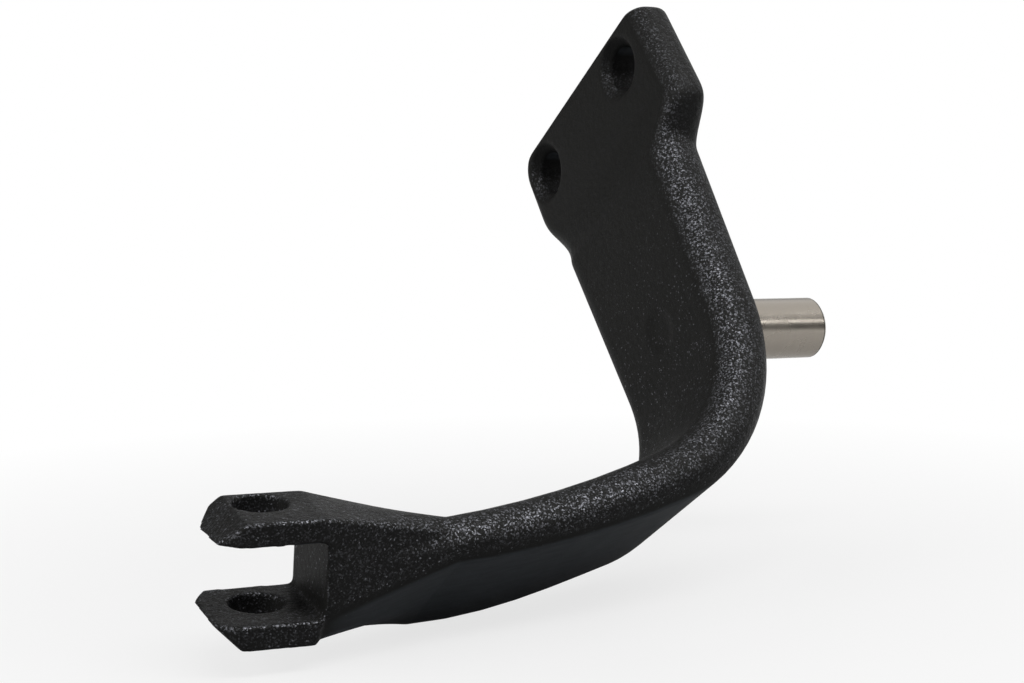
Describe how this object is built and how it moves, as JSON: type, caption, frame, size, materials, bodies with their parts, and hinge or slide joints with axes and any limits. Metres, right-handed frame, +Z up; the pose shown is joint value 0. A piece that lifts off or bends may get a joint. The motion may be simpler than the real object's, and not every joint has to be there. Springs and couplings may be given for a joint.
{
  "type": "motorcycle footrest hanger",
  "caption": "Forged black footrest hanger with a bolt-on plate, a wide bend, an arm ending in a turned clevis, and a ground steel pivot pin.",
  "frame": {"origin": "on the back of the plate, midway between its two bolt holes", "axes": "+X away from the motorcycle, square to the plate; +Y along the line of the bolt holes, towards the open face of the clevis; +Z up"},
  "size_m": [0.1561, 0.062, 0.1317],
  "materials": {
    "black_powder_coat": "fine textured powder coat",
    "ground_steel": "ground, bare"
  },
  "bodies": {
    "root": {"hanger": "black_powder_coat", "pivot_pin": "ground_steel"}
  },
  "joints": []
}
